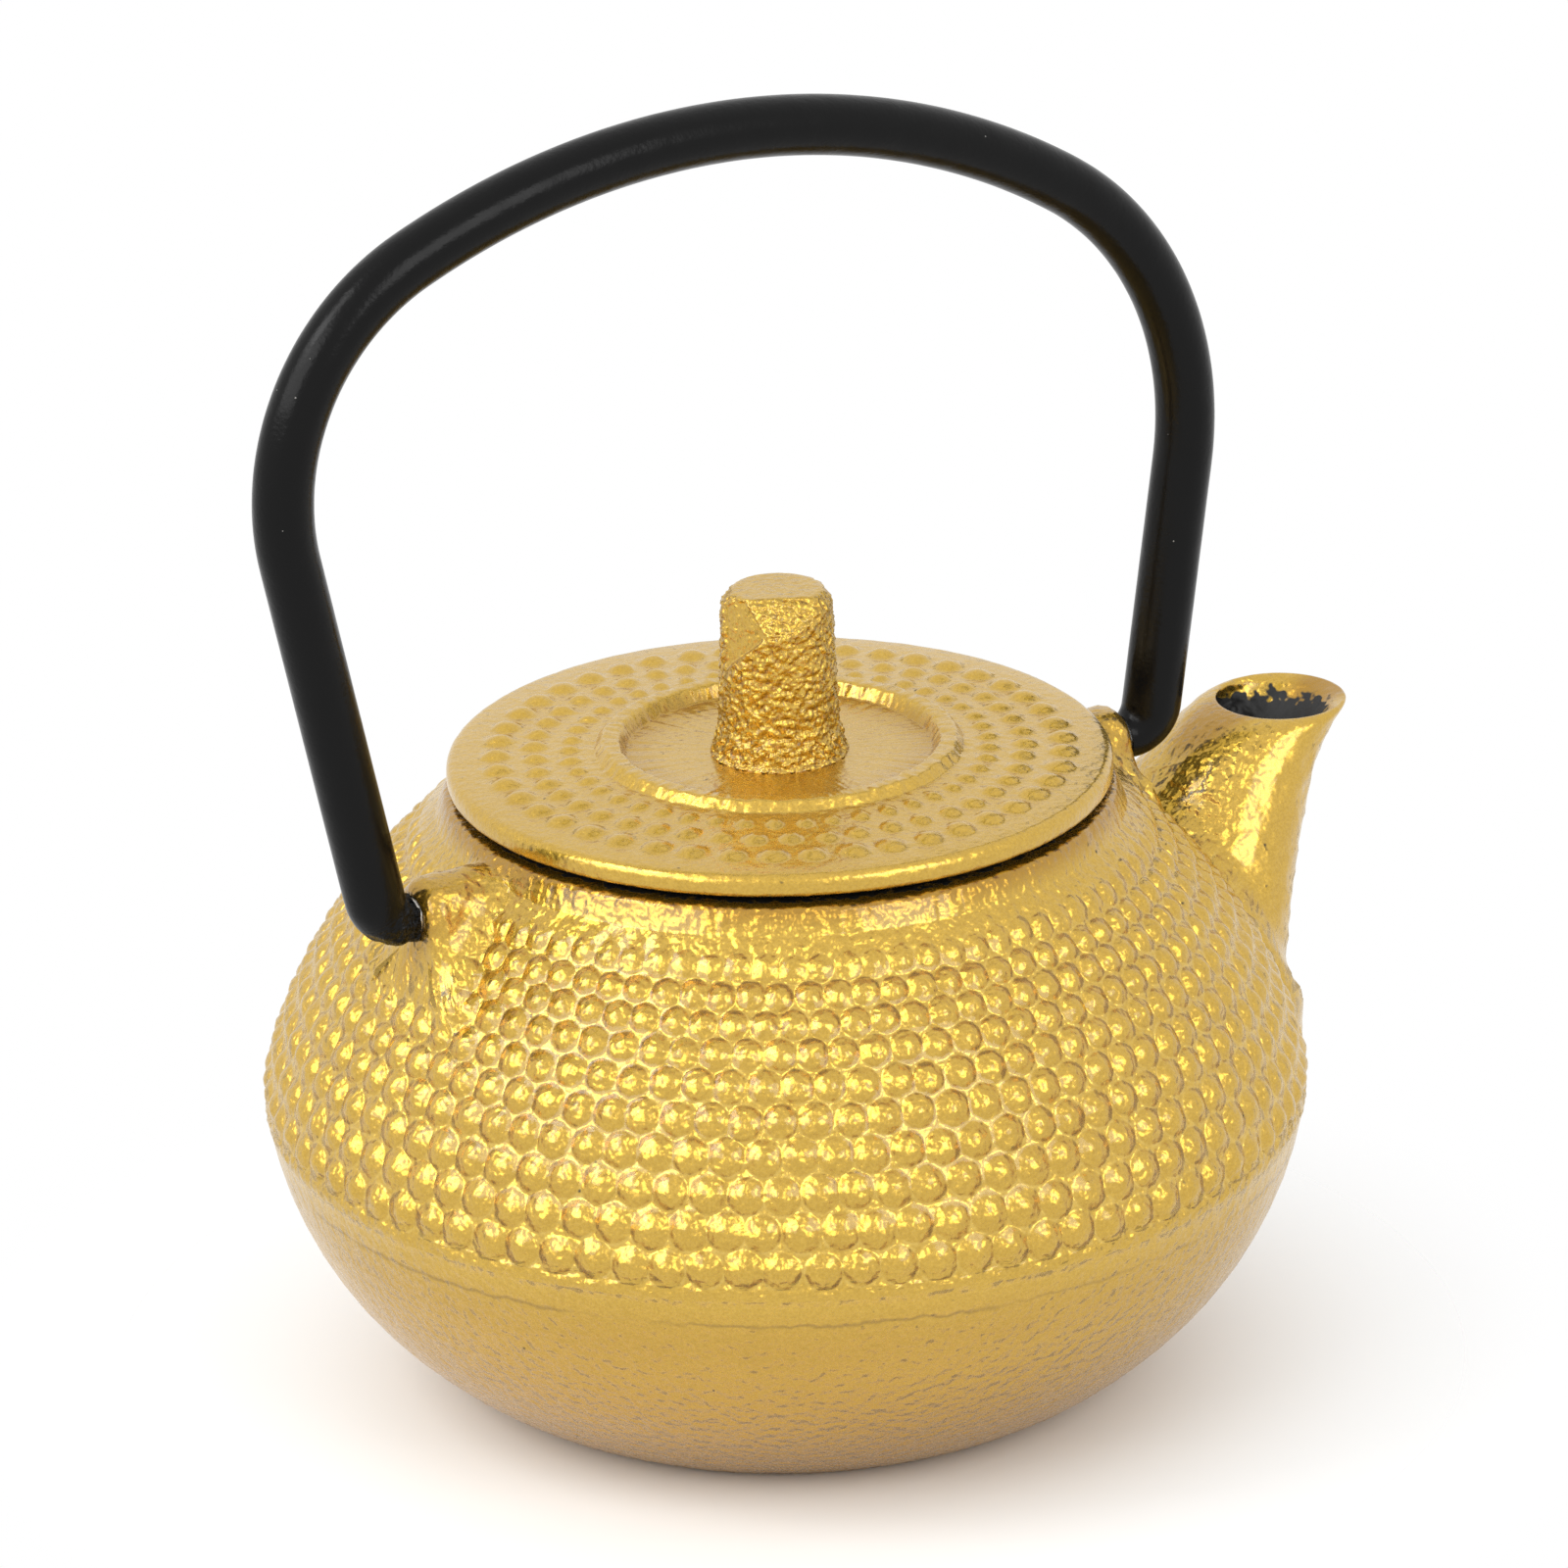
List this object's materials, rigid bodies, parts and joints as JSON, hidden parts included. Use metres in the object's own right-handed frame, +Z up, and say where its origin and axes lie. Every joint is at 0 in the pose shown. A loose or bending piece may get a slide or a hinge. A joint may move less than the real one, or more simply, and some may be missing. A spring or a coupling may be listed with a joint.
{
  "type": "cast iron teapot",
  "caption": "Small round cast iron teapot in gold paint with a hobnail pattern, a lift-off lid with a post knob, a black swinging bail handle and a steel mesh infuser basket.",
  "frame": {"origin": "centre of the flat base", "axes": "+Z up, +X from the pot's centre to the spout, +Y across"},
  "size_m": [0.0845, 0.07, 0.0893],
  "materials": {
    "pot_casting": "sand cast iron with hobnails, gold metallic paint outside, black enamel inside",
    "lid_casting": "sand cast iron, gold metallic paint",
    "knob_casting": "coarse pitted cast iron, gold metallic paint",
    "wire_steel": "drawn steel wire",
    "sleeve_plastic": "black satin plastic tubing",
    "infuser_steel": "bright stainless sheet and mesh"
  },
  "bodies": {
    "pot": {"pot_body": "pot_casting", "pot_spout": "pot_casting"},
    "lid": {"lid": "lid_casting", "lid_knob": "knob_casting"},
    "bail": {"bail_wire": "wire_steel", "bail_sleeve": "sleeve_plastic"},
    "infuser": {"infuser_rim": "infuser_steel", "infuser_mesh": "infuser_steel", "infuser_base": "infuser_steel"}
  },
  "joints": [
    {"name": "bail_swing", "type": "hinge", "parent": "pot", "child": "bail", "pos_m": [0, 0, 0.03829], "axis": [1, 0, 0], "range_deg": [-115, 115]},
    {"name": "lid_lift", "type": "slide", "parent": "pot", "child": "lid", "axis": [0, 0, 1], "range_m": [0, 0.026]},
    {"name": "infuser_lift", "type": "slide", "parent": "pot", "child": "infuser", "axis": [0, 0, 1], "range_m": [0, 0.0195]}
  ],
  "couplings": [
    {"joint": "infuser_lift", "follows": "lid_lift", "ratio": 0.75}
  ]
}
